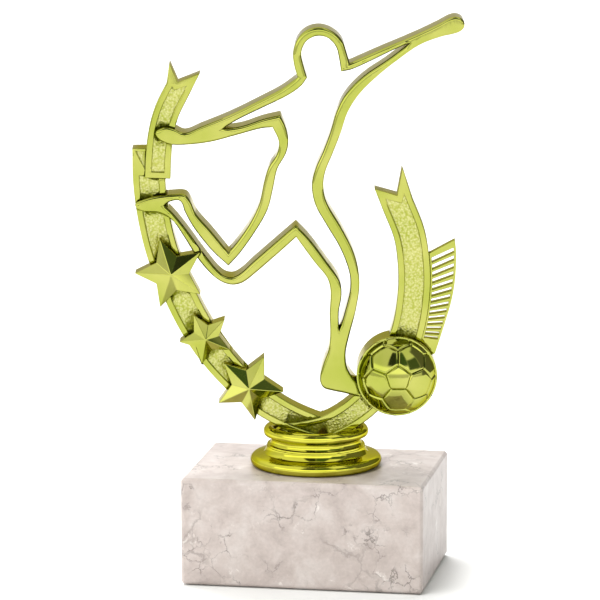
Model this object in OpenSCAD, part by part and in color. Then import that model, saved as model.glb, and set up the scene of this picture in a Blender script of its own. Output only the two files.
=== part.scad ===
// Figure trophy: a kicking football player drawn as an open gold band, held by two
// curved ribbons with stars, on a round foot that is bolted to a marble block.
// Origin at the centre of the underside, +Z up, the block's front looks along -Y.
// The figure and its ribbons are drawn flat in X and Z, then turned on the bolt's axis.

/* [Marble base] */
// Width of the block, left to right
base_w = 70; // [60:1:110]
// Depth of the block, front to back
base_d = 50; // [44:1:90]
// Height of the block's top above the shelf
base_top = 31.5; // [24:0.5:45]
// Width of the broken edges
edge_break = 0.8; // [0.3:0.1:1.5]
// How far the rubber pad stands out below the stone
pad_proud = 0.3; // [0.1:0.1:0.6]
// Thickness of the pad
pad_t = 1; // [0.8:0.1:1.5]
// Stone left uncovered round the pad
pad_margin = 5; // [3:0.5:8]

/* [Clamp bolt] */
// Thread diameter
bolt_d = 6; // [5:0.5:6]
// Bore through the block
bolt_bore = 7; // [6.5:0.1:8]
// Length under the head
bolt_len = 30; // [28:0.5:30]
// Height of the hexagon head
head_h = 4; // [3:0.5:4.5]
// Width across the head's flats
head_af = 10; // [8:1:10]
// Washer outside diameter
washer_d = 18; // [14:1:18]
// Washer thickness
washer_t = 1.6; // [1:0.1:2]
// Counterbore diameter
counterbore_d = 20; // [19:0.5:24]
// Counterbore roof, above the shelf
counterbore_top = 10; // [9:0.5:12]

/* [Foot] */
// Diameter over the bottom roll
foot_d = 38; // [36:1:44]
// Diameter over the upper ring
ring_d = 30.4; // [29:0.2:32]
// Height of the upper ring's crown above the stone
ring_h = 11.8; // [11:0.2:13]
// Height of the dish floor above the stone
dish_h = 9.6; // [9:0.1:10]
// Threaded insert outside diameter
insert_d = 8.5; // [8:0.1:9]
// Threaded insert length
insert_len = 8; // [6:0.5:8]

/* [Figure] */
// How far the figure is turned on its block, towards the viewer's right
figure_turn = 10; // [-15:1:15]
// Front face of the player, before the lap plane
player_front = 6; // [5:0.5:6.5]
// Back face of the player, behind the lap plane
player_back = 4.5; // [3:0.5:5]

/* [Ribbons] */
// Width of the two long ribbons
ribbon_w = 9.2; // [8:0.2:10]
// Width of the upper left tail
tail_w = 7.3; // [6:0.1:8]
// Part of their width that they lose at the foot
foot_narrow = 0.3; // [0:0.01:0.35]
// Width of the raised rails
rail_w = 1.9; // [1.2:0.1:2.4]
// Depth of the sunk panel between the rails
panel_deep = 0.7; // [0.4:0.1:1.2]
// How far the upper left tail stands in front of the long ribbon
tail_step = 1; // [0.5:0.1:1.5]
// Front face of the ribbons, before the lap plane
ribbon_front = 3.5; // [2.5:0.5:4.5]
// Back face of the ribbons, behind the lap plane
ribbon_back = 4.5; // [4:0.5:6.5]
// What is left of the right ribbon behind the rail that crosses it
cross_t = 1.4; // [0.8:0.1:1.6]

/* [Fringe] */
// Number of slots in the fringe
slots = 14; // [8:1:14]
// Height of the topmost slot; the lowest is half as high
slot_h = 1.2; // [0.8:0.1:1.3]
// Slope of the topmost slot, in degrees
slot_slope = 25; // [0:1:28]
// Thickness of the fringe, half on each side of the lap plane
fringe_t = 3; // [2:0.5:5]
// Solid rim left round the slots
fringe_rim = 0.7; // [0.4:0.1:1]

/* [Stars and ball] */
// Tip radius of the upper, middle and lower star
star_r = [10.4, 7.7, 10]; // [6:0.1:12]
// Notch radius as a part of the tip radius
star_notch = 0.5; // [0.4:0.01:0.6]
// Front edge of the stars, before the lap plane
star_front = 6.5; // [5:0.5:7]
// Height of the stars' points in front of that edge
star_peak = 3; // [1.5:0.5:4]
// Ball diameter
ball_d = 23.2; // [20:0.2:24]
// Front of the ball's rim, before the lap plane
rim_front = 6.5; // [5:0.5:8]
// Height of the dome in front of the rim
dome_h = 7.5; // [5:0.5:9]

/* [Hidden] */
$fn = 96;
gold = [0.74, 0.77, 0.27];
wall = 1.8;
star_turn = [108, 117, 64];
dish_z = base_top + dish_h;
tongue = [4.4, 3, 3.2];
tongue_x = 7.5;
boss_r = 7;

// Sets a drawn outline in place: a little narrower, moved left by some amount, and lowered
// towards its right.
draw_width = 0.988;
draw_drop = 0.031;
function placed(left, pts) =
    [for (p = pts)
        concat([draw_width * p[0] - left, p[1] - draw_drop * p[0]], len(p) > 2 ? [p[2]] : [])];

ball_at = placed(0.5, [[24, 59.5]])[0];
star_at = placed(0.5, [[-41.5, 87.5], [-31.5, 69], [-19, 55]]);

// The player's outer outline, clockwise from the left of the neck.
// A third value marks a corner; everywhere else the curve runs through smoothly.
player_outer = placed(0.4, [
    [-5, 145, 1], [-6, 148.5], [-6.3, 152], [-5, 156], [-2.3, 158.6], [1.4, 159.5], [5, 158.5],
    [7.8, 156], [9.1, 152.5], [10, 149.5, 1],
    [18.5, 153.5], [28.5, 158], [35.5, 161.5], [38.5, 163.2], [40.7, 163.7], [42.6, 162.8],
    [42.8, 160.7], [41, 159.2], [36, 157.8], [30, 155.3], [24, 151], [18.5, 146.5], [13, 141],
    [9.5, 135.5], [7.5, 129.5], [5.2, 123.5], [3, 118], [2.5, 113.5], [3.6, 109], [7.5, 102.5],
    [11.5, 94.5], [13, 86.5], [12, 78.5], [10, 70.5], [9, 65.3], [9.6, 61], [12.5, 57],
    [17.5, 54.5, 1], [17.5, 52.3, 1], [12.5, 53], [8.5, 53.9], [5, 54.5], [2.5, 55.3], [1.5, 57.8],
    [2.4, 62], [4, 66.5], [4.5, 71], [4.3, 77], [4.6, 83], [3.6, 87.3], [0, 91.7], [-5.4, 98.9, 1],
    [-10, 94.6], [-18.5, 87], [-21, 85.2], [-23.8, 84.5], [-26.8, 85.2], [-30, 87.4], [-34, 92],
    [-38.5, 99], [-41.5, 103], [-45, 104.8], [-49.5, 105.1], [-52, 106.7], [-50, 108.3],
    [-46, 109.5], [-41, 110.2], [-37.5, 110.2], [-35.9, 108.3], [-34.3, 104.8], [-30, 100],
    [-25, 94, 1], [-22, 97.7], [-18.5, 103], [-16, 108.5], [-14.7, 114.5], [-13.3, 119],
    [-11, 122.7], [-10.4, 126.3], [-12.2, 130.4, 1], [-15.5, 130], [-22.5, 127.9],
    [-30, 125.7], [-37.5, 124.6], [-42.5, 124.8], [-46, 127.5], [-43.5, 129.5],
    [-40.5, 129.1], [-37.6, 128], [-33, 129.9], [-24.5, 133.6], [-16, 138], [-9.5, 141.6]]);

// The edge of the opening inside the player, in the same way.
player_inner = placed(0.4, [
    [-2.2, 145, 1], [-3.2, 148.3], [-3.9, 151.8], [-2.8, 154.9], [-0.8, 156.5], [1.5, 157],
    [4, 156.3], [6.1, 153.9], [7, 150.3], [7.5, 147, 1], [10.5, 147.7], [16, 150.3],
    [22, 153.4], [27.5, 156, 1], [20.5, 150.6], [14, 146], [9, 140.8], [6.2, 135.5],
    [4.4, 129.5], [2.3, 123.8], [0.2, 119], [-0.9, 114], [0.1, 108.5], [3, 103.3], [7.3, 96.2],
    [9.9, 89.5], [10.3, 84.7], [9.2, 79.5], [7.1, 72, 1], [7, 77.5], [7.8, 82.5], [7.2, 86.7],
    [3.5, 92], [-1.5, 98.5], [-5.5, 102.5, 1], [-11, 97.6], [-18, 91.3], [-21.5, 88],
    [-24.2, 86.7], [-27, 87.6], [-31, 92], [-37, 100], [-41, 104.8], [-43.5, 107, 1],
    [-41.5, 108.2], [-38.9, 108.3], [-37.6, 105.3], [-35, 100.7], [-30, 94.5], [-25, 90, 1],
    [-21.7, 93.7], [-17, 100.5], [-13.6, 106.7], [-12, 113], [-10.8, 118.5],
    [-8.4, 122.8], [-7.6, 126.5], [-8.3, 130.5], [-10, 134, 1], [-15, 132.7],
    [-21, 130.5], [-26.7, 129.5, 1], [-22, 132.4], [-15, 136], [-8, 139.6], [-4, 142.5]]);

// Middle lines of the ribbons, from the foot upwards.
left_line = placed(0, [
    [10, 41.2], [4, 42], [-3, 43.9], [-10.3, 47], [-17.6, 51.6], [-24.4, 57.8], [-30.7, 65.2],
    [-36.5, 74.5], [-41, 84], [-44.6, 93], [-47, 103], [-48.3, 113], [-48.5, 123]]);
tail_line = placed(0, [
    [-45.8, 114.5], [-45.5, 121.5], [-44.7, 128], [-43, 134], [-39.8, 140.5]]);
right_line = placed(0, [
    [-10, 40.8], [-4, 41.3], [3.3, 43.1], [9.4, 46.4], [14.9, 51], [19.7, 57.1], [23.8, 64.5],
    [27, 74], [28.4, 84], [28.3, 92], [27, 100.5], [23.7, 108.8]]);
// Swallow-tail ends: one tip, the notch, the other tip.
tail_end = placed(0, [[-42.3, 147.9], [-39.9, 142.4], [-33.5, 145.1]]);
right_end = placed(0, [[16.9, 113.2], [23.4, 111.6], [24.9, 119.5]]);
// Outer edge of the fringe, from its top point down.
fringe_edge = placed(-0.3, [
    [40, 99, 1], [40.4, 95], [40.2, 88], [39.2, 81.5], [37.4, 75], [34.4, 65.5, 1]]);
// Small sunk triangle at the top of the left ribbon, and where its panel begins.
left_fold = placed(0, [[-52, 122], [-50, 122], [-49.6, 117]]);
left_panel_top = 116.5;

// Curves: each span leaves and arrives along the line between a point's neighbours.
function flat(p) = [p[0], p[1]];
function unit(v) = v / norm(v);
function aim(a, p, b) = len(p) > 2 ? unit(b - flat(p)) : unit(b - a);
function span_point(p, q, u, v, t) =
    let (d = norm(q - p))
    p * (1 + t * t * (2 * t - 3)) + u * d * t * (1 - t) * (1 - t)
    + q * (t * t * (3 - 2 * t)) - v * d * t * t * (1 - t);
function span(a, p, q, b, n) =
    let (u = aim(flat(a), p, flat(q)), v = -aim(flat(b), q, flat(p)))
    [for (k = [0 : n - 1]) span_point(flat(p), flat(q), u, v, k / n)];
function loop_curve(pts, n = 4) =
    let (m = len(pts))
    [for (i = [0 : m - 1])
        each span(pts[(i + m - 1) % m], pts[i], pts[(i + 1) % m], pts[(i + 2) % m], n)];
function open_curve(pts, n = 4) =
    let (m = len(pts) - 1)
    [for (i = [0 : m - 1])
        each span(i > 0 ? pts[i - 1] : 2 * pts[0] - pts[1], pts[i], pts[i + 1],
                  i < m - 1 ? pts[i + 2] : 2 * pts[m] - pts[m - 1], n),
     flat(pts[m])];
function side(line, shift, narrow = 0, inset = 0) =
    let (m = len(line) - 1)
    [for (i = [0 : m])
        let (d = unit(line[min(i + 1, m)] - line[max(i - 1, 0)]),
             s = shift * (1 - narrow * max(0, 1 - 1.8 * i / m)) - inset)
        line[i] + s * [-d[1], d[0]]];
function reversed(pts) = [for (i = [len(pts) - 1 : -1 : 0]) pts[i]];

// A flat outline in X and Z, thickened from y_front to y_back.
module slab(y_front, y_back) {
    translate([0, y_back, 0])
        rotate([90, 0, 0])
            linear_extrude(y_back - y_front)
                children();
}

// Ring of a half round edge, for the turned profiles.
function arc(c, r, a0, a1, n = 10) =
    [for (k = [0 : n]) let (a = a0 + (a1 - a0) * k / n) c + r * [cos(a), sin(a)]];

module player_2d() {
    difference() {
        polygon(loop_curve(player_outer));
        polygon(loop_curve(player_inner));
    }
}

module band_2d(line, w, tips = [], narrow = 0) {
    c = open_curve(line);
    polygon(concat(side(c, w / 2, narrow), tips, reversed(side(c, -w / 2, narrow))));
}

module right_band_2d() {
    band_2d(right_line, ribbon_w, right_end, foot_narrow);
}

module above_dish_2d() {
    translate([-base_w, dish_z])
        square([2 * base_w, 2 * base_w]);
}

module left_2d() {
    intersection() {
        band_2d(left_line, ribbon_w, narrow = foot_narrow);
        above_dish_2d();
    }
}

module right_2d() {
    intersection() {
        right_band_2d();
        above_dish_2d();
    }
}

// The left ribbon's outer rail, which passes in front of the right ribbon at the foot.
module left_rail_2d() {
    c = open_curve(left_line);
    intersection() {
        polygon(concat(side(c, ribbon_w / 2, foot_narrow),
                       reversed(side(c, ribbon_w / 2, foot_narrow, rail_w))));
        above_dish_2d();
    }
}

module right_front_2d() {
    difference() {
        right_2d();
        left_rail_2d();
    }
}

module tail_2d() {
    band_2d(tail_line, tail_w, tail_end);
}

module star_2d(i) {
    translate(star_at[i])
        polygon([for (k = [0 : 9])
            star_r[i] * (k % 2 == 0 ? 1 : star_notch)
            * [cos(star_turn[i] + 36 * k), sin(star_turn[i] + 36 * k)]]);
}

module ball_2d() {
    translate(ball_at)
        circle(d = ball_d);
}

// The front half of a ribbon, from its outline, its sunk panel and what is cut away.
module front_half() {
    slab(-ribbon_front, panel_deep - ribbon_front)
        difference() {
            children(0);
            children(1);
            children(2);
        }
    slab(panel_deep - ribbon_front, 0)
        difference() {
            children(0);
            children(2);
        }
}

module tongue_at(x, y) {
    translate([x - tongue[0] / 2, y, dish_z - tongue[2]])
        cube([tongue[0], tongue[1], tongue[2] + 0.02]);
}

module base_block() {
    stone_z = base_top - pad_proud;
    color("mistyrose")
        difference() {
            translate([0, 0, pad_proud])
                block_blank(base_w, base_d, stone_z, edge_break);
            translate([0, 0, pad_t / 2])
                cube([base_w - 2 * pad_margin, base_d - 2 * pad_margin, pad_t], center = true);
            cylinder(d = counterbore_d, h = counterbore_top);
            cylinder(d = bolt_bore, h = base_top + 1);
        }
}

// Block with all twelve edges broken: one prism along each axis, intersected.
module block_blank(w, d, h, b) {
    intersection() {
        translate([0, 0, h / 2])
            rotate([90, 0, 0])
                linear_extrude(d, center = true)
                    broken_rect(w, h, b);
        translate([0, 0, h / 2])
            rotate([90, 0, 90])
                linear_extrude(w, center = true)
                    broken_rect(d, h, b);
        linear_extrude(h)
            broken_rect(w, d, b);
    }
}

module broken_rect(w, h, b) {
    polygon([[b - w / 2, -h / 2], [w / 2 - b, -h / 2], [w / 2, b - h / 2], [w / 2, h / 2 - b],
             [w / 2 - b, h / 2], [b - w / 2, h / 2], [-w / 2, h / 2 - b], [-w / 2, b - h / 2]]);
}

module rubber_pad() {
    clear = 0.2;
    w = base_w - 2 * pad_margin - 2 * clear;
    d = base_d - 2 * pad_margin - 2 * clear;
    color("dimgray")
        translate([-w / 2, -d / 2, 0])
            cube([w, d, pad_t]);
}

module clamp_bolt() {
    under_head = counterbore_top - washer_t;
    color("silver") {
        translate([0, 0, under_head - head_h])
            cylinder(d = head_af / cos(30), h = head_h, $fn = 6);
        translate([0, 0, under_head - 0.01])
            cylinder(d = bolt_d, h = bolt_len + 0.01);
    }
}

module washer() {
    color("gainsboro")
        translate([0, 0, counterbore_top - washer_t])
            difference() {
                cylinder(d = washer_d, h = washer_t);
                translate([0, 0, -1])
                    cylinder(d = bolt_d + 0.4, h = washer_t + 2);
            }
}

module threaded_insert() {
    color("goldenrod")
        translate([0, 0, base_top])
            difference() {
                cylinder(d = insert_d, h = insert_len);
                translate([0, 0, -1])
                    cylinder(d = bolt_d, h = insert_len + 2);
            }
}

// Turned outside of the foot: roll, cove, rib, groove, ring and dish.
module foot_profile() {
    roll_r = 1.75;
    ring_r = 1.7;
    neck = ring_d / 2 - 2.2;
    polygon(concat(
        [[0, 0]],
        arc([foot_d / 2 - roll_r, roll_r], roll_r, -70, 80),
        arc([neck + 4.1, 5.9], 2.8, 225, 182, 8),
        [[neck + 1.1, 5.9], [neck + 1.1, 6.3]],
        arc([neck + 1.9, 7.6], 1.9, 215, 145, 8),
        arc([ring_d / 2 - ring_r, ring_h - ring_r], ring_r, -35, 180, 16),
        [[ring_d / 2 - 2 * ring_r - 0.6, dish_h], [0, dish_h]]));
}

module foot_hollow() {
    neck = ring_d / 2 - 2.2;
    polygon([[boss_r, -1], [foot_d / 2 - 2 * wall, -1], [foot_d / 2 - 2 * wall, 2],
             [neck - wall, 4.4], [neck - wall, dish_h - wall], [boss_r, dish_h - wall]]);
}

module foot_collar() {
    color(gold)
        difference() {
            translate([0, 0, base_top])
                rotate_extrude()
                    foot_profile();
            translate([0, 0, base_top])
                rotate_extrude()
                    foot_hollow();
            translate([0, 0, base_top - 1])
                cylinder(d = insert_d, h = insert_len + 1);
            rotate(figure_turn) {
                tongue_at(tongue_x, 0.5);
                tongue_at(-tongue_x, -tongue[1]);
            }
        }
}

module player_outline() {
    color(gold) rotate(figure_turn) {
        slab(-player_front, 0)
            difference() {
                player_2d();
                ball_2d();
                star_2d(0);
            }
        slab(0, player_back)
            difference() {
                player_2d();
                left_2d();
                tail_2d();
                right_2d();
            }
    }
}

module football() {
    r = ball_d / 2;
    sphere_r = (r * r + dome_h * dome_h) / (2 * dome_h);
    color(gold) rotate(figure_turn) {
        slab(-rim_front, 0)
            ball_2d();
        slab(0, player_back)
            difference() {
                ball_2d();
                player_2d();
                right_2d();
            }
        intersection() {
            translate([ball_at[0], sphere_r - rim_front - dome_h, ball_at[1]])
                sphere(sphere_r);
            slab(-rim_front - dome_h - 1, -rim_front)
                ball_2d();
        }
    }
}

module ribbon_left() {
    color(gold) rotate(figure_turn) {
        difference() {
            front_half() {
                left_2d();
                left_panel_2d();
                union() {
                    tail_2d();
                    player_2d();
                    right_front_2d();
                    for (i = [0 : 2])
                        star_2d(i);
                }
            }
            slab(-cross_t, 0)
                right_2d();
        }
        slab(0, ribbon_back)
            left_2d();
        tongue_at(tongue_x, 0.5);
    }
}

module left_panel_2d() {
    difference() {
        offset(delta = -rail_w)
            left_2d();
        translate([-base_w, left_panel_top])
            square(base_w);
    }
    polygon(left_fold);
}

module ribbon_left_tail() {
    color(gold) rotate(figure_turn) {
        translate([0, -tail_step, 0])
            front_half() {
                tail_2d();
                offset(delta = -rail_w)
                    tail_2d();
                player_2d();
            }
        slab(-tail_step, 0)
            difference() {
                tail_2d();
                player_2d();
            }
        slab(0, ribbon_back - tail_step)
            difference() {
                tail_2d();
                left_2d();
            }
    }
}

module ribbon_right() {
    color(gold) rotate(figure_turn) {
        front_half() {
            right_front_2d();
            offset(delta = -rail_w)
                right_band_2d();
            union() {
                player_2d();
                ball_2d();
            }
        }
        slab(-cross_t, 0)
            difference() {
                right_2d();
                player_2d();
                ball_2d();
            }
        slab(0, ribbon_back)
            difference() {
                right_2d();
                left_2d();
            }
        tongue_at(-tongue_x, -tongue[1]);
    }
}

// Toothed strip: a plate whose slots turn from sloping to level and close up on the way down.
module fringe_plate_2d() {
    root = side(open_curve(right_line), -ribbon_w / 2);
    polygon(concat(open_curve(fringe_edge), [for (p = root) if (p[1] > 61 && p[1] < 95.5) p]));
}

module fringe_2d() {
    slot_x = 29.8;
    lead = 3;
    difference() {
        fringe_plate_2d();
        right_2d();
        ball_2d();
        intersection() {
            offset(delta = -fringe_rim)
                fringe_plate_2d();
            for (k = [0 : slots - 1]) {
                f = k / (slots - 1);
                translate([slot_x, slot_z(k) - lead * sin(slot_turn(f))])
                    rotate(slot_turn(f))
                        square([14, slot_h * (1 - f / 2)]);
            }
        }
    }
}

function slot_z(k) = 90.8 - 2.1 * k + 0.032 * k * k;
function slot_turn(f) = slot_slope - 31 * pow(f, 1.3);

module fringe_comb() {
    color(gold) rotate(figure_turn)
        slab(-fringe_t / 2, fringe_t / 2)
            fringe_2d();
}

module star(i) {
    color(gold) rotate(figure_turn) {
        slab(-star_front, 0)
            star_2d(i);
        translate([star_at[i][0], -star_front, star_at[i][1]])
            rotate([90, 0, 0])
                linear_extrude(star_peak, scale = 0)
                    translate(-star_at[i])
                        star_2d(i);
    }
}

module star_upper() {
    star(0);
}

module star_middle() {
    star(1);
}

module star_lower() {
    star(2);
}

base_block();
rubber_pad();
clamp_bolt();
washer();
threaded_insert();
foot_collar();
player_outline();
football();
ribbon_left();
ribbon_left_tail();
ribbon_right();
fringe_comb();
star_upper();
star_middle();
star_lower();
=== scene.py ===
import math

import bmesh
import bpy
from mathutils import Matrix, Vector


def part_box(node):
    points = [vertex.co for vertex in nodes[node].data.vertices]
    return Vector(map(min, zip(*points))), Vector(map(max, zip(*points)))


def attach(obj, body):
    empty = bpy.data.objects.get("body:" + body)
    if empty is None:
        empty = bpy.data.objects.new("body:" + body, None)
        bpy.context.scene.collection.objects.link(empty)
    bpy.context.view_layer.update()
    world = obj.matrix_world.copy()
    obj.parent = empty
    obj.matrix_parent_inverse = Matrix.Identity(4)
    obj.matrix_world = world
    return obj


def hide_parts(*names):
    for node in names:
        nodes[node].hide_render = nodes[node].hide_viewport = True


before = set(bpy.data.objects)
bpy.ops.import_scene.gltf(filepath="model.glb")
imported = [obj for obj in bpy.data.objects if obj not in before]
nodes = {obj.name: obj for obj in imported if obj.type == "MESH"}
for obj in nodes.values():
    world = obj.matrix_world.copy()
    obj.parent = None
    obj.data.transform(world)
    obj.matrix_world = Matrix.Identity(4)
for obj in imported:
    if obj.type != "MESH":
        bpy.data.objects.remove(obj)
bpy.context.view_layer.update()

mm = 0.001
goldBody = "figure"
stoneBody = "base"
# The figure stands turned by this much on its bolt; its pieces are shaped square and turned at the end.
figureTurn = Matrix.Rotation(math.radians(10), 4, "Z")


# Colours are written as sRGB hex and turned to linear here.
def linear(hexColour):
    parts = [int(hexColour[i:i + 2], 16) / 255 for i in (1, 3, 5)]
    return tuple(c / 12.92 if c <= 0.04045 else ((c + 0.055) / 1.055) ** 2.4 for c in parts) + (1.0,)


# Gives a node's inputs, by name or number, their values or links from a (node, output).
def feed(node, inputs):
    for key, value in inputs.items():
        socket = node.inputs[key]
        if isinstance(value, tuple) and isinstance(value[0], bpy.types.Node):
            node.id_data.links.new(value[0].outputs[value[1]], socket)
        else:
            socket.default_value = value


# Adds a node with its own settings, its inputs and, if it has them, the stops of its colours.
def addNode(tree, kind, settings=None, inputs=None, stops=()):
    node = tree.nodes.new(kind)
    for name, value in (settings or {}).items():
        setattr(node, name, value)
    feed(node, inputs or {})
    for k, (place, tone) in enumerate(stops):
        elements = node.color_ramp.elements
        element = elements[k] if k < len(elements) else elements.new(place)
        element.position = place
        element.color = linear(tone)
    return node


def newMaterial(name):
    material = bpy.data.materials.new(name)
    material.use_nodes = True
    tree = material.node_tree
    tree.nodes.clear()
    shader = addNode(tree, "ShaderNodeBsdfPrincipled")
    addNode(tree, "ShaderNodeOutputMaterial", inputs={"Surface": (shader, "BSDF")})
    coords = addNode(tree, "ShaderNodeTexCoord")
    return material, tree, shader, (coords, "Object")


goldLook = {
    "tint": ("#9ea544", "#b0b15a"),
    # Painted reflection: the foot's gold is painted lighter and yellower, standing in for the gold its coves and
    # grooves mirror.
    "footReflectionTint": ("#b8b535", "#cac74c"),
    "grazing": "#b2a862",
    "pooling": 14,           # mm
    "haze": 4,               # mm
    "orangePeel": 1.6,       # mm
    "roughness": (0.06, 0.12),
    "coat": 0.1,
    "coatRoughness": 0.04,
    "grain": 0.5,            # mm between the grains of the sunk panels
    "pits": 0.65,            # mm between the pits among them
    # Pale tone painted on the stipple's raised grains: a painted highlight.
    "grainTone": "#d4d296",
    "grainRoughness": 0.36,
    "grainCoat": 0.05,
}


# ABS moulding, base-lacquered and vacuum metallised, with a greenish gold tinted topcoat: it mirrors its
# surroundings, a little softly, turns khaki where it is seen edge on through more of the lacquer, and its
# tint pools slightly so the gold is never quite even. The stippled panels' raised grains are painted paler,
# a painted highlight for the light they scatter, and the foot's gold is painted lighter and yellower, a
# painted reflection of the gold its coves and grooves mirror.
def metallisedAbs(name, tints, stippled=False):
    material, tree, shader, place = newMaterial(name)
    look = goldLook
    pooling = addNode(tree, "ShaderNodeTexNoise", inputs={
        "Vector": place, "Scale": 1 / (look["pooling"] * mm), "Detail": 3.0, "Roughness": 0.5})
    tint = addNode(tree, "ShaderNodeValToRGB", inputs={"Fac": (pooling, "Fac")},
                   stops=((0.35, tints[0]), (0.65, tints[1])))
    if stippled:
        grain = addNode(tree, "ShaderNodeTexNoise", inputs={
            "Vector": place, "Scale": 1 / (look["grain"] * mm), "Detail": 1.5, "Roughness": 0.55})
        pits = addNode(tree, "ShaderNodeTexVoronoi", inputs={
            "Vector": place, "Scale": 1 / (look["pits"] * mm)})
        height = addNode(tree, "ShaderNodeMath", {"operation": "SUBTRACT"}, {
            0: (grain, "Fac"), 1: (pits, "Distance")})
        # Painted highlight: the raised grains are painted paler, standing in for the light the stipple scatters.
        paintedGlint = addNode(tree, "ShaderNodeMapRange", inputs={
            "Value": (height, "Value"), "From Min": -0.3, "From Max": 0.4, "To Min": 0.0, "To Max": 0.75})
        colour = addNode(tree, "ShaderNodeMix", {"data_type": "RGBA"}, {
            "Factor": (paintedGlint, "Result"), "A": (tint, "Color"), "B": linear(look["grainTone"])})
        bump = addNode(tree, "ShaderNodeBump", inputs={
            "Strength": 0.75, "Distance": 0.16 * mm, "Height": (height, "Value")})
        feed(shader, {"Base Color": (colour, "Result"), "Roughness": look["grainRoughness"],
                      "Coat Weight": look["grainCoat"]})
    else:
        haze = addNode(tree, "ShaderNodeTexNoise", inputs={
            "Vector": place, "Scale": 1 / (look["haze"] * mm), "Detail": 4.0, "Roughness": 0.6})
        low, high = look["roughness"]
        sheen = addNode(tree, "ShaderNodeMapRange", inputs={
            "Value": (haze, "Fac"), "From Min": 0.3, "From Max": 0.7, "To Min": low, "To Max": high})
        orangePeel = addNode(tree, "ShaderNodeTexNoise", inputs={
            "Vector": place, "Scale": 1 / (look["orangePeel"] * mm), "Detail": 1.0})
        bump = addNode(tree, "ShaderNodeBump", inputs={
            "Strength": 0.12, "Distance": 0.02 * mm, "Height": (orangePeel, "Fac")})
        feed(shader, {"Base Color": (tint, "Color"), "Roughness": (sheen, "Result"),
                      "Coat Weight": look["coat"]})
    feed(shader, {"Metallic": 1.0, "Coat Roughness": look["coatRoughness"],
                  "Specular Tint": linear(look["grazing"]), "Normal": (bump, "Normal")})
    return material


marbleLook = {
    "ground": ("#a99c98", "#baaeaa", "#c7bebb"),
    "bloom": "#ece7e4",
    "mottle": 7,             # mm
    "grain": 0.9,            # mm
    "bends": 7,              # mm from one bend of a vein to the next
    "sway": 9,               # mm that a bend reaches
    "bloomSize": 4.5,        # mm
    "roughness": (0.3, 0.42),
    # Spacing in mm, width as a part of it, colour, size in mm of the areas that have them, strength.
    "veins": [(15, 0.045, "#857b77", 21, 0.6), (5.5, 0.05, "#574f4c", 9, 0.7)],
}


# Pinkish grey limestone marble, sawn and honed to a low polish: cloudy ground, white blooms, fine grey
# veins that come and go, and hair cracks.
def honedMarble(name):
    material, tree, shader, place = newMaterial(name)
    look = marbleLook
    smooth = {"interpolation_type": "SMOOTHSTEP"}
    clouds = addNode(tree, "ShaderNodeTexNoise", inputs={
        "Vector": place, "Scale": 1 / (look["mottle"] * mm), "Detail": 6.0, "Roughness": 0.62, "Distortion": 0.4})
    ground = addNode(tree, "ShaderNodeValToRGB", inputs={"Fac": (clouds, "Fac")},
                     stops=tuple(zip((0.3, 0.5, 0.72), look["ground"])))
    grains = addNode(tree, "ShaderNodeTexNoise", inputs={
        "Vector": place, "Scale": 1 / (look["grain"] * mm), "Detail": 3.0, "Roughness": 0.7})
    grainTone = addNode(tree, "ShaderNodeMapRange", inputs={
        "Value": (grains, "Fac"), "From Min": 0.3, "From Max": 0.7, "To Min": 0.93, "To Max": 1.05})
    colour = addNode(tree, "ShaderNodeMix", {"data_type": "RGBA", "blend_type": "MULTIPLY"}, {
        "Factor": 1.0, "A": (ground, "Color"), "B": (grainTone, "Result")})

    bends = addNode(tree, "ShaderNodeTexNoise", inputs={
        "Vector": place, "Scale": 1 / (look["bends"] * mm), "Detail": 5.0, "Roughness": 0.65})
    centred = addNode(tree, "ShaderNodeVectorMath", {"operation": "SUBTRACT"}, {
        0: (bends, "Color"), 1: (0.5, 0.5, 0.5)})
    sway = addNode(tree, "ShaderNodeVectorMath", {"operation": "SCALE"}, {
        0: (centred, "Vector"), "Scale": look["sway"] * mm})
    bent = addNode(tree, "ShaderNodeVectorMath", {"operation": "ADD"}, {0: place, 1: (sway, "Vector")})

    for spacing, width, tone, area, strength in look["veins"]:
        cells = addNode(tree, "ShaderNodeTexVoronoi", {"feature": "DISTANCE_TO_EDGE"}, {
            "Vector": (bent, "Vector"), "Scale": 1 / (spacing * mm)})
        line = addNode(tree, "ShaderNodeMapRange", smooth, {
            "Value": (cells, "Distance"), "From Min": 0.0, "From Max": width, "To Min": 1.0, "To Max": 0.0})
        areas = addNode(tree, "ShaderNodeTexNoise", {"noise_dimensions": "4D"}, {
            "Vector": place, "W": spacing * 0.37, "Scale": 1 / (area * mm), "Detail": 3.0})
        where = addNode(tree, "ShaderNodeMapRange", smooth, {
            "Value": (areas, "Fac"), "From Min": 0.5, "From Max": 0.66, "To Min": 0.0, "To Max": strength})
        vein = addNode(tree, "ShaderNodeMath", {"operation": "MULTIPLY"}, {
            0: (line, "Result"), 1: (where, "Result")})
        colour = addNode(tree, "ShaderNodeMix", {"data_type": "RGBA"}, {
            "Factor": (vein, "Value"), "A": (colour, "Result"), "B": linear(tone)})

    blooms = addNode(tree, "ShaderNodeTexNoise", {"noise_dimensions": "4D"}, {
        "Vector": (bent, "Vector"), "W": 4.2, "Scale": 1 / (look["bloomSize"] * mm), "Detail": 4.0,
        "Roughness": 0.7})
    bloom = addNode(tree, "ShaderNodeMapRange", smooth, {
        "Value": (blooms, "Fac"), "From Min": 0.6, "From Max": 0.74, "To Min": 0.0, "To Max": 0.7})
    whitened = addNode(tree, "ShaderNodeMix", {"data_type": "RGBA"}, {
        "Factor": (bloom, "Result"), "A": (colour, "Result"), "B": linear(look["bloom"])})
    low, high = look["roughness"]
    polish = addNode(tree, "ShaderNodeMapRange", inputs={
        "Value": (grains, "Fac"), "From Min": 0.3, "From Max": 0.7, "To Min": low, "To Max": high})
    pores = addNode(tree, "ShaderNodeBump", inputs={
        "Strength": 0.25, "Distance": 0.05 * mm, "Height": (grains, "Fac")})
    feed(shader, {"Base Color": (whitened, "Result"), "Roughness": (polish, "Result"), "IOR": 1.55,
                  "Normal": (pores, "Normal")})
    return material


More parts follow.
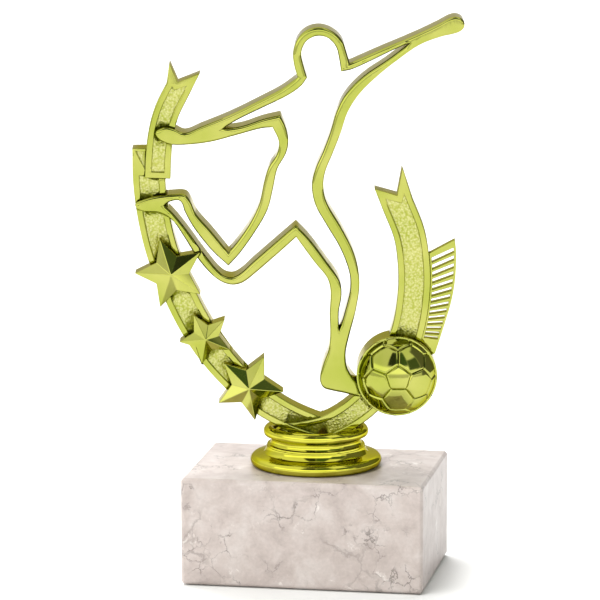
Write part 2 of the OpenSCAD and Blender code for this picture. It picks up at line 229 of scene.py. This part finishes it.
# Thin natural rubber sheet, calendered with a fine weave impression: dull, near black, with dusty highs.
def calenderedRubber(name):
    material, tree, shader, place = newMaterial(name)
    ribs = addNode(tree, "ShaderNodeTexWave", {"wave_type": "BANDS", "bands_direction": "DIAGONAL"}, {
        "Vector": place, "Scale": 1 / (6.3 * mm), "Distortion": 0.3})
    dust = addNode(tree, "ShaderNodeTexNoise", inputs={"Vector": place, "Scale": 1 / (3 * mm), "Detail": 5.0})
    colour = addNode(tree, "ShaderNodeValToRGB", inputs={"Fac": (dust, "Fac")},
                     stops=((0.35, "#1b1b1d"), (0.75, "#343436")))
    bump = addNode(tree, "ShaderNodeBump", inputs={
        "Strength": 0.4, "Distance": 0.08 * mm, "Height": (ribs, "Fac")})
    feed(shader, {"Base Color": (colour, "Color"), "Roughness": 0.82, "IOR": 1.52, "Normal": (bump, "Normal")})
    return material


# Cold-headed steel with bright zinc plate: bluish grey, satin, with faint drawn streaks.
def zincPlatedSteel(name):
    material, tree, shader, place = newMaterial(name)
    stretch = addNode(tree, "ShaderNodeMapping", inputs={"Vector": place, "Scale": (1.0, 1.0, 0.08)})
    streaks = addNode(tree, "ShaderNodeTexNoise", inputs={
        "Vector": (stretch, "Vector"), "Scale": 1 / (0.5 * mm), "Detail": 4.0})
    colour = addNode(tree, "ShaderNodeValToRGB", inputs={"Fac": (streaks, "Fac")},
                     stops=((0.3, "#a9adb1"), (0.7, "#c9cdd1")))
    satin = addNode(tree, "ShaderNodeMapRange", inputs={
        "Value": (streaks, "Fac"), "To Min": 0.22, "To Max": 0.42})
    feed(shader, {"Base Color": (colour, "Color"), "Metallic": 1.0, "Roughness": (satin, "Result")})
    return material


# Free-cutting brass, turned: warm yellow with fine turning lines round the axis.
def turnedBrass(name):
    material, tree, shader, place = newMaterial(name)
    lines = addNode(tree, "ShaderNodeTexWave", {"wave_type": "BANDS", "bands_direction": "Z"}, {
        "Vector": place, "Scale": 1 / (2.2 * mm), "Distortion": 0.6, "Detail": 2.0})
    colour = addNode(tree, "ShaderNodeValToRGB", inputs={"Fac": (lines, "Fac")},
                     stops=((0.2, "#b8923f"), (0.8, "#d8b765")))
    bump = addNode(tree, "ShaderNodeBump", inputs={
        "Strength": 0.2, "Distance": 0.03 * mm, "Height": (lines, "Fac")})
    feed(shader, {"Base Color": (colour, "Color"), "Metallic": 1.0, "Roughness": 0.28, "Normal": (bump, "Normal")})
    return material


gold = metallisedAbs("metallised ABS", goldLook["tint"])
goldStippled = metallisedAbs("metallised ABS, stippled", goldLook["tint"], stippled=True)
# The foot's gold is painted lighter and yellower, a painted reflection of its coves and grooves mirroring gold.
goldFoot = metallisedAbs("metallised ABS, painted reflection", goldLook["footReflectionTint"])
marble = honedMarble("honed marble")
rubber = calenderedRubber("calendered rubber")
zincSteel = zincPlatedSteel("zinc plated steel")
brass = turnedBrass("turned brass")
print("materials made")


# Turns the shape into the visible piece that rides on body in place of the CAD node.
def finishPiece(bm, name, node, materials, body=goldBody, sharpAngle=35, weighted=True):
    if body == goldBody:
        bmesh.ops.transform(bm, matrix=figureTurn, verts=bm.verts)
    bmesh.ops.recalc_face_normals(bm, faces=bm.faces)
    mesh = bpy.data.meshes.new(name)
    bm.to_mesh(mesh)
    bm.free()
    for material in materials:
        mesh.materials.append(material)
    mesh.shade_smooth()
    mesh.set_sharp_from_angle(angle=math.radians(sharpAngle))
    piece = bpy.data.objects.new(name, mesh)
    bpy.context.scene.collection.objects.link(piece)
    if weighted:
        modifier = piece.modifiers.new("faceWeights", "WEIGHTED_NORMAL")
        modifier.keep_sharp = True
        modifier.weight = 80
    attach(piece, body)
    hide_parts(node)


# A working copy of a CAD node, set square and merged; joined puts its flat faces back together.
def cadCopy(node, body=goldBody, joined=False):
    bm = bmesh.new()
    bm.from_mesh(nodes[node].data)
    bmesh.ops.remove_doubles(bm, verts=bm.verts, dist=0.002 * mm)
    if body == goldBody:
        bmesh.ops.transform(bm, matrix=figureTurn.inverted(), verts=bm.verts)
    if joined:
        bmesh.ops.dissolve_limit(bm, angle_limit=math.radians(0.5), verts=bm.verts, edges=bm.edges)
    return bm


def reach(bm):
    low = Vector([min(v.co[k] for v in bm.verts) for k in range(3)])
    high = Vector([max(v.co[k] for v in bm.verts) for k in range(3)])
    return low, high


# The flat faces that lie at y and look to the front (-1) or the back (+1).
def facesAt(bm, y, facing):
    return [face for face in bm.faces
            if face.normal.y * facing > 0.99 and abs(face.calc_center_median().y - y) < 0.02 * mm]


# How far each vertex round the faces has to go for their outline to shrink by one unit.
def inwardSteps(faces):
    chosen = set(faces)
    pulls = {}
    for face in faces:
        for loop in face.loops:
            if any(other is not face and other in chosen for other in loop.edge.link_faces):
                continue
            along = loop.link_loop_next.vert.co - loop.vert.co
            inward = face.normal.cross(along).normalized()
            pulls.setdefault(loop.vert, []).append(inward)
            pulls.setdefault(loop.link_loop_next.vert, []).append(inward)
    steps = {}
    for vert, inwards in pulls.items():
        total = sum(inwards, Vector())
        steps[vert] = total / max(1 + inwards[0].dot(inwards[-1]), 0.5)
    return steps


# Rounds the edge of the flat faces at y over in steps, along a quarter of an ellipse.
def crown(bm, y, facing, width, depth, steps):
    faces = facesAt(bm, y, facing)
    for vert in {v for face in faces for v in face.verts}:
        vert.co.y -= facing * depth * mm
    for k in range(steps):
        start, end = (math.pi / 2 * part / steps for part in (k, k + 1))
        bmesh.ops.inset_region(bm, faces=faces, thickness=0, depth=0, use_boundary=True)
        for vert, step in inwardSteps(faces).items():
            vert.co += step * width * mm * (math.cos(start) - math.cos(end))
        for vert in {v for face in faces for v in face.verts}:
            vert.co.y += facing * depth * mm * (math.sin(end) - math.sin(start))


# Widths and depths of the rounded edges, in mm.
playerShape = {"crown": 0.95, "crownDeep": 0.9, "steps": 6, "back": 0.35, "backSteps": 2}


def makePlayer():
    bm = cadCopy("player_outline")
    low, high = reach(bm)
    shape = playerShape
    crown(bm, low.y, -1, shape["crown"], shape["crownDeep"], shape["steps"])
    crown(bm, high.y, 1, shape["back"], shape["back"], shape["backSteps"])
    finishPiece(bm, "playerOutline", "player_outline", [gold])


ribbonShape = {"rail": 0.42, "steps": 3, "back": 0.35, "backSteps": 2, "panelDeep": 0.7}


# A ribbon's rails are rounded over, and its sunk panel gets the stippled finish.
def makeRibbon(node, name):
    bm = cadCopy(node)
    low, high = reach(bm)
    shape = ribbonShape
    for face in facesAt(bm, low.y + shape["panelDeep"] * mm, -1):
        face.material_index = 1
    crown(bm, low.y, -1, shape["rail"], shape["rail"], shape["steps"])
    crown(bm, high.y, 1, shape["back"], shape["back"], shape["backSteps"])
    finishPiece(bm, name, node, [gold, goldStippled])


fringeShape = {"edge": 0.2, "edgeDeep": 0.25, "steps": 3}


def makeFringe():
    bm = cadCopy("fringe_comb")
    low, high = reach(bm)
    for y, facing in ((low.y, -1), (high.y, 1)):
        crown(bm, y, facing, fringeShape["edge"], fringeShape["edgeDeep"], fringeShape["steps"])
    finishPiece(bm, "fringeComb", "fringe_comb", [gold])


def roundOver(bm, edges, radius, segments):
    bmesh.ops.bevel(bm, geom=edges, offset=radius * mm, offset_type="OFFSET", affect="EDGES",
                    segments=segments, profile=0.5, material=-1, clamp_overlap=True)


starShape = {"ridge": 0.16, "segments": 2, "sharpest": 8}


# A star's ridges and edges are softened, its ten facets stay flat.
def makeStar(node, name):
    bm = cadCopy(node, joined=True)
    ridges = [edge for edge in bm.edges
              if len(edge.link_faces) == 2 and edge.calc_face_angle() > math.radians(starShape["sharpest"])]
    roundOver(bm, ridges, starShape["ridge"], starShape["segments"])
    finishPiece(bm, name, node, [gold], sharpAngle=60)


ballShape = {
    "dome": 7.5,            # mm in front of the rim
    "pattern": 11.05,       # radius the panels are drawn for, mm
    "facing": (1.6, 4.3),   # direction of the middle pentagon: to the right and up, degrees
    "seam": 0.027,          # seam half width, as a part of the radius
    "seamDeep": 0.28,       # mm
    "cuts": 7,
    "lip": 0.5,             # width of the rim's front lip, mm
    "rimRound": 0.3,        # mm
    "rimSteps": 3,
}


# Sends a direction out from the panels' own centre to the dome, less the depth of the seam there.
def onDome(direction, patternCentre, centre, radius, depth):
    toCentre = patternCentre - centre
    along = direction.dot(toCentre)
    far = -along + math.sqrt(along * along - toCentre.length_squared + radius * radius)
    point = patternCentre + direction * far
    return centre + (point - centre).normalized() * (radius - depth)


# A whole ball of pentagons and hexagons about the origin; the groove layer is 1 on the seams.
def panelledBall():
    bm = bmesh.new()
    bmesh.ops.create_icosphere(bm, subdivisions=1, radius=1.0)
    bmesh.ops.bevel(bm, geom=bm.verts, offset=33.333, offset_type="PERCENT", affect="VERTICES",
                    segments=1, profile=0.5, material=-1)
    groove = bm.verts.layers.float.new("groove")
    seamVerts = set(bm.verts)
    panels = bm.faces[:]
    bmesh.ops.inset_individual(bm, faces=panels, thickness=ballShape["seam"])
    for vert in bm.verts:
        vert[groove] = 1.0 if vert in seamVerts else 0.0
    bmesh.ops.poke(bm, faces=panels)
    bmesh.ops.subdivide_edges(bm, edges=bm.edges[:], cuts=ballShape["cuts"], use_grid_fill=True)
    return bm, groove


# Cuts away what lies past the plane through y, on the side that facing looks to, and closes the cut.
def cutFlat(bm, y, facing):
    bmesh.ops.bisect_plane(bm, geom=bm.verts[:] + bm.edges[:] + bm.faces[:], plane_co=(0, y, 0),
                           plane_no=(0, facing, 0), clear_outer=True)
    bmesh.ops.holes_fill(bm, edges=[edge for edge in bm.edges if edge.is_boundary])


# Half ball: pentagons and hexagons on a dome, cut off flat and set in a short rim.
def makeFootball():
    rim = cadCopy("football", joined=True)
    low, high = reach(rim)
    middle = (low + high) / 2
    domeHigh = ballShape["dome"] * mm
    rimY = low.y + domeHigh
    domeRadius = (high.x - low.x) / 2 - ballShape["lip"] * mm
    radius = (domeRadius ** 2 + domeHigh ** 2) / (2 * domeHigh)
    centre = Vector((middle.x, low.y + radius, middle.z))
    patternCentre = Vector((middle.x, low.y + ballShape["pattern"] * mm, middle.z))

    right, up = (math.radians(angle) for angle in ballShape["facing"])
    ahead = Vector((math.sin(right) * math.cos(up), -math.cos(right) * math.cos(up), math.sin(up)))
    above = (Vector((0, 0, 1)) - ahead * ahead.z).normalized()
    turn = Matrix((above, ahead.cross(above), ahead)).transposed()
    bm, groove = panelledBall()
    for vert in bm.verts:
        depth = ballShape["seamDeep"] * mm * vert[groove]
        vert.co = onDome(turn @ vert.co.normalized(), patternCentre, centre, radius, depth)
    cutFlat(bm, rimY, 1)

    cutFlat(rim, rimY, -1)
    bmesh.ops.recalc_face_normals(rim, faces=rim.faces)
    crown(rim, rimY, -1, ballShape["rimRound"], ballShape["rimRound"], ballShape["rimSteps"])
    spare = bpy.data.meshes.new("rimOnly")
    rim.to_mesh(spare)
    rim.free()
    bm.from_mesh(spare)
    bpy.data.meshes.remove(spare)
    finishPiece(bm, "football", "football", [gold], sharpAngle=25)


# In mm; a place is given as the way out from the neck and the height.
footShape = {
    "roll": 1.75,             # radius of the bottom roll
    "ring": 15.2,             # outside radius of the upper ring
    "ringRound": 1.7,
    "neckIn": 2.2,            # from the ring's outside in to the neck
    "coveCentre": (4.1, 5.9),
    "cove": 2.8,
    "rib": (1.1, 6.3),
    "grooveCentre": (1.9, 7.6),
    "groove": 1.9,
    "dish": 9.6,              # height of the dish's floor
    "dishIn": 0.6,            # from the ring's inside in to the dish's floor
    "hollow": (2.0, 4.4),     # heights between which the hollow narrows
    "wall": 1.8,
    "boss": 7.0,
    "bore": 4.25,
    "steps": 160,
}


def arcPoints(centre, radius, start, end, steps):
    angles = [math.radians(start + (end - start) * k / steps) for k in range(steps + 1)]
    return [(centre[0] + radius * math.cos(a), centre[1] + radius * math.sin(a)) for a in angles]


# Turned foot: half its section is drawn once and spun round the bolt's axis.
def makeFoot():
    low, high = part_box("foot_collar")
    outer = (high.x - low.x) / 2 / mm
    tall = (high.z - low.z) / mm
    roll, ring, ringRound, dish, wall, boss, bore = (
        footShape[key] for key in ("roll", "ring", "ringRound", "dish", "wall", "boss", "bore"))
    neck = ring - footShape["neckIn"]
    skirt = outer - 2 * wall
    wide, narrow = footShape["hollow"]
    coveOut, coveUp = footShape["coveCentre"]
    ribOut, ribUp = footShape["rib"]
    grooveOut, grooveUp = footShape["grooveCentre"]
    section = [(boss, 0.0), (boss, dish - wall), (neck - wall, dish - wall), (neck - wall, narrow),
               (skirt, wide), (skirt, 0.0)]
    section += arcPoints((outer - roll, roll), roll, -70, 80, 20)
    section += arcPoints((neck + coveOut, coveUp), footShape["cove"], 225, 182, 10)
    section += [(neck + ribOut, coveUp), (neck + ribOut, ribUp)]
    section += arcPoints((neck + grooveOut, grooveUp), footShape["groove"], 215, 145, 12)
    section += arcPoints((ring - ringRound, tall - ringRound), ringRound, -35, 180, 26)
    section += [(ring - 2 * ringRound - footShape["dishIn"], dish), (bore, dish), (bore, 0.0)]
    bm = bmesh.new()
    verts = [bm.verts.new((r * mm, 0, low.z + z * mm)) for r, z in section]
    profile = [bm.edges.new(pair) for pair in zip(verts, verts[1:] + verts[:1])]
    bmesh.ops.spin(bm, geom=verts + profile, cent=(0, 0, 0), axis=(0, 0, 1), angle=2 * math.pi,
                   steps=footShape["steps"], use_merge=True)
    finishPiece(bm, "footCollar", "foot_collar", [goldFoot], weighted=False)


blockShape = {"edge": 0.2, "segments": 2, "outside": 1.2, "sharpest": 30}


# Softens the broken edges of the block's outside.
def makeBlock():
    bm = cadCopy("base_block", stoneBody, joined=True)
    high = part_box("base_block")[1]
    near = blockShape["outside"] * mm
    outerEdges = []
    for edge in bm.edges:
        if len(edge.link_faces) == 2 and edge.calc_face_angle() > math.radians(blockShape["sharpest"]):
            middle = (edge.verts[0].co + edge.verts[1].co) / 2
            if abs(middle.x) > high.x - near or abs(middle.y) > high.y - near:
                outerEdges.append(edge)
    roundOver(bm, outerEdges, blockShape["edge"], blockShape["segments"])
    finishPiece(bm, "marbleBlock", "base_block", [marble], body=stoneBody)


makePlayer()
makeRibbon("ribbon_left", "ribbonLeft")
makeRibbon("ribbon_left_tail", "ribbonLeftTail")
makeRibbon("ribbon_right", "ribbonRight")
makeFringe()
makeStar("star_upper", "starUpper")
makeStar("star_middle", "starMiddle")
makeStar("star_lower", "starLower")
makeFootball()
makeFoot()
makeBlock()
print("pieces made")

# The hidden hardware keeps its CAD shape.
for node, material in (("rubber_pad", rubber), ("clamp_bolt", zincSteel), ("washer", zincSteel),
                       ("threaded_insert", brass)):
    nodes[node].material_slots[0].link = "OBJECT"
    nodes[node].material_slots[0].material = material
print("hardware coloured")


studio = {
    "floorSize": 1.6,
    "floor": ("#e6e6e6", "#e9e9e9"),
    "distance": 1.3,
    "azimuth": 10.0,
    "elevation": 10.5,
    "aim": (-0.0047, 0.0, 0.0797),
    "frameWidth": 0.1728,
    "soft": 3.0,            # degrees over which a patch fades
    # Left, right, bottom and top in degrees, then the patch's linear colour.
    "patches": [
        (-190, 190, 22, 76, (1.25, 1.25, 1.22, 1.0)),
        (-70, 70, 8, 26, (2.1, 2.1, 1.9, 1.0)),
        (-20, 10, 30, 70, (0.05, 0.06, 0.045, 1.0)),
        (10, 46, 30, 70, (0.1, 0.16, 0.08, 1.0)),
        (84, 160, -8, 60, (0.2, 0.2, 0.19, 1.0)),
        (46, 84, 16, 44, (0.12, 0.16, 0.1, 1.0)),
        (-190, 190, 76, 95, (0.03, 0.025, 0.03, 1.0)),
    ],
    # Name, direction it comes from, spread in degrees, power.
    "lights": [
        ("keyLight", (-0.3, -0.4, 1.1), 30, 1.5),
        ("backLight", (-0.3, 0.55, 1.0), 40, 3.0),
    ],
}


def makeFloor():
    bm = bmesh.new()
    bmesh.ops.create_circle(bm, cap_ends=True, radius=studio["floorSize"], segments=96)
    mesh = bpy.data.meshes.new("floor")
    bm.to_mesh(mesh)
    bm.free()
    material, tree, shader, place = newMaterial("matt paper sweep")
    fibre = addNode(tree, "ShaderNodeTexNoise", inputs={"Vector": place, "Scale": 1 / (40 * mm), "Detail": 3.0})
    tone = addNode(tree, "ShaderNodeValToRGB", inputs={"Fac": (fibre, "Fac")},
                   stops=tuple(zip((0.3, 0.7), studio["floor"])))
    feed(shader, {"Base Color": (tone, "Color"), "Roughness": 0.9})
    mesh.materials.append(material)
    floor = bpy.data.objects.new("floor", mesh)
    bpy.context.scene.collection.objects.link(floor)


# One soft-edged patch of the surroundings, between two azimuths and two elevations in degrees.
def skyPatch(tree, azimuth, elevation, left, right, bottom, top):
    factor = None
    for angle, edge, sign in ((azimuth, left, 1), (azimuth, right, -1), (elevation, bottom, 1),
                              (elevation, top, -1)):
        fade = sign * studio["soft"]
        step = addNode(tree, "ShaderNodeMapRange", {"interpolation_type": "SMOOTHSTEP"}, {
            "Value": angle, "From Min": math.radians(edge - fade), "From Max": math.radians(edge + fade)})
        if factor is None:
            factor = (step, "Result")
        else:
            both = addNode(tree, "ShaderNodeMath", {"operation": "MULTIPLY"}, {0: factor, 1: (step, "Result")})
            factor = (both, "Value")
    return factor


# White tent, brighter above and brightest in a band low in front, with dark green gaps over the camera and
# beside it, a dim right side and a dark hole overhead.
def makeWorld():
    world = bpy.data.worlds.new("softTent")
    bpy.context.scene.world = world
    world.use_nodes = True
    tree = world.node_tree
    tree.nodes.clear()
    coords = addNode(tree, "ShaderNodeTexCoord")
    axes = addNode(tree, "ShaderNodeSeparateXYZ", inputs={"Vector": (coords, "Generated")})
    towards = addNode(tree, "ShaderNodeMath", {"operation": "MULTIPLY"}, {0: (axes, "Y"), 1: -1.0})
    azimuth = addNode(tree, "ShaderNodeMath", {"operation": "ARCTAN2"}, {0: (axes, "X"), 1: (towards, "Value")})
    elevation = addNode(tree, "ShaderNodeMath", {"operation": "ARCSINE"}, {0: (axes, "Z")})
    light = (1.0, 1.0, 1.0, 1.0)
    for left, right, bottom, top, glow in studio["patches"]:
        factor = skyPatch(tree, (azimuth, "Value"), (elevation, "Value"), left, right, bottom, top)
        mix = addNode(tree, "ShaderNodeMix", {"data_type": "RGBA"}, {"Factor": factor, "A": light, "B": glow})
        light = (mix, "Result")
    background = addNode(tree, "ShaderNodeBackground", inputs={"Color": light, "Strength": 1.0})
    addNode(tree, "ShaderNodeOutputWorld", inputs={"Surface": (background, "Background")})


def makeLight(name, place, spread, power):
    data = bpy.data.lights.new(name, "SUN")
    data.angle = math.radians(spread)
    data.energy = power
    lamp = bpy.data.objects.new(name, data)
    lamp.location = place
    lamp.rotation_euler = (Vector((0, 0, 0.06)) - Vector(place)).to_track_quat("-Z", "Y").to_euler()
    lamp.visible_glossy = False
    bpy.context.scene.collection.objects.link(lamp)


def makeCamera():
    azimuth = math.radians(studio["azimuth"])
    elevation = math.radians(studio["elevation"])
    back = Vector((math.sin(azimuth) * math.cos(elevation), -math.cos(azimuth) * math.cos(elevation),
                   math.sin(elevation)))
    data = bpy.data.cameras.new("camera")
    data.sensor_width = 36.0
    data.lens = data.sensor_width * studio["distance"] / studio["frameWidth"]
    data.clip_end = 20.0
    camera = bpy.data.objects.new("camera", data)
    camera.location = Vector(studio["aim"]) + back * studio["distance"]
    camera.rotation_euler = back.to_track_quat("Z", "Y").to_euler()
    bpy.context.scene.collection.objects.link(camera)
    bpy.context.scene.camera = camera


makeFloor()
makeWorld()
for lamp in studio["lights"]:
    makeLight(*lamp)
makeCamera()
bpy.context.scene.view_settings.view_transform = "Standard"
print("studio made")
